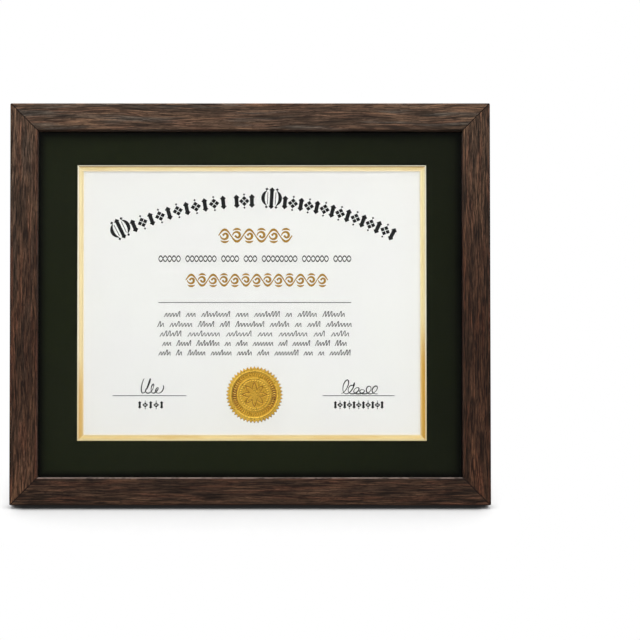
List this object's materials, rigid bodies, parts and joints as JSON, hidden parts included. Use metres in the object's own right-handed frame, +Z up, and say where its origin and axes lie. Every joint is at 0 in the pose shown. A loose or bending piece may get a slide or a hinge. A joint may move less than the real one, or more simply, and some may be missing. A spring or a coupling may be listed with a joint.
{
  "type": "certificate frame",
  "caption": "Dark wood picture frame in landscape with a glazed, matted certificate, standing on a folding easel leg.",
  "frame": {"origin": "centre of the footprint on the table, between the front of the leaning frame and the easel's foot", "axes": "+X to the right as seen from the front, +Y from the front to the back, +Z up"},
  "size_m": [0.3866, 0.1012, 0.3217],
  "materials": {
    "dark_wood": "open-pored dark brown stain, satin",
    "glass": "clear picture glass",
    "mat_board": "green-black surface paper, cream core",
    "gold_leaf": "gold leaf over wood, softly mottled",
    "spacer_board": "uncoated board",
    "paper": "smooth white card with printed ink",
    "gold_foil": "embossed gold foil sticker",
    "foam_board": "paper-faced foam board",
    "black_hardboard": "hardboard faced with black textured paper",
    "steel": "plain steel",
    "nickel_steel": "nickel-plated steel",
    "brassed_steel": "brass-plated steel",
    "ribbon": "black grosgrain ribbon"
  },
  "bodies": {
    "frame": {"rail_bottom": "dark_wood", "gold_fillet_bottom": "gold_leaf", "rail_left": "dark_wood", "gold_fillet_left": "gold_leaf", "rail_top": "dark_wood", "gold_fillet_top": "gold_leaf", "rail_right": "dark_wood", "gold_fillet_right": "gold_leaf", "corner_v_nails": "steel", "glass_pane": "glass", "top_mat": "mat_board", "mat_spacer": "spacer_board", "certificate": "paper", "foil_seal": "gold_foil", "backing_board": "foam_board", "back_panel": "black_hardboard", "turn_button_screws": "nickel_steel", "sawtooth_hanger_top": "brassed_steel", "sawtooth_hanger_side": "brassed_steel", "hanger_nails": "brassed_steel", "hinge_leaf_panel": "nickel_steel", "hinge_pin": "steel", "panel_rivets": "nickel_steel", "stay_ribbon": "ribbon", "ribbon_eyelet_panel": "nickel_steel"},
    "easel": {"easel_leg": "black_hardboard", "hinge_leaf_leg": "nickel_steel", "leg_rivets": "nickel_steel", "ribbon_eyelet_leg": "nickel_steel"},
    "turn_button_bottom_left": {"turn_button_bottom_left": "nickel_steel"},
    "turn_button_bottom_right": {"turn_button_bottom_right": "nickel_steel"},
    "turn_button_left_upper": {"turn_button_left_upper": "nickel_steel"},
    "turn_button_left_lower": {"turn_button_left_lower": "nickel_steel"},
    "turn_button_top_right": {"turn_button_top_right": "nickel_steel"},
    "turn_button_top_left": {"turn_button_top_left": "nickel_steel"},
    "turn_button_right_lower": {"turn_button_right_lower": "nickel_steel"},
    "turn_button_right_upper": {"turn_button_right_upper": "nickel_steel"}
  },
  "joints": [
    {"name": "easel_fold", "type": "hinge", "parent": "frame", "child": "easel", "pos_m": [0, 0.01192, 0.21941], "axis": [1, 0, 0], "range_deg": [-20, 0], "deforming": ["stay_ribbon"]},
    {"name": "turn_button_bottom_left_turn", "type": "hinge", "parent": "frame", "child": "turn_button_bottom_left", "pos_m": [-0.09665, -0.02804, 0.01171], "axis": [0, 0.9839, -0.1788], "continuous": true},
    {"name": "turn_button_bottom_right_turn", "type": "hinge", "parent": "frame", "child": "turn_button_bottom_right", "pos_m": [0.09665, -0.02804, 0.01171], "axis": [0, 0.9839, -0.1788], "continuous": true},
    {"name": "turn_button_left_upper_turn", "type": "hinge", "parent": "frame", "child": "turn_button_left_upper", "pos_m": [-0.1813, 0.0132, 0.23862], "axis": [0, 0.9839, -0.1788], "continuous": true},
    {"name": "turn_button_left_lower_turn", "type": "hinge", "parent": "frame", "child": "turn_button_left_lower", "pos_m": [-0.1813, -0.01572, 0.07947], "axis": [0, 0.9839, -0.1788], "continuous": true},
    {"name": "turn_button_top_right_turn", "type": "hinge", "parent": "frame", "child": "turn_button_top_right", "pos_m": [0.09665, 0.02552, 0.30638], "axis": [0, 0.9839, -0.1788], "continuous": true},
    {"name": "turn_button_top_left_turn", "type": "hinge", "parent": "frame", "child": "turn_button_top_left", "pos_m": [-0.09665, 0.02552, 0.30638], "axis": [0, 0.9839, -0.1788], "continuous": true},
    {"name": "turn_button_right_lower_turn", "type": "hinge", "parent": "frame", "child": "turn_button_right_lower", "pos_m": [0.1813, -0.01572, 0.07947], "axis": [0, 0.9839, -0.1788], "continuous": true},
    {"name": "turn_button_right_upper_turn", "type": "hinge", "parent": "frame", "child": "turn_button_right_upper", "pos_m": [0.1813, 0.0132, 0.23862], "axis": [0, 0.9839, -0.1788], "continuous": true}
  ]
}
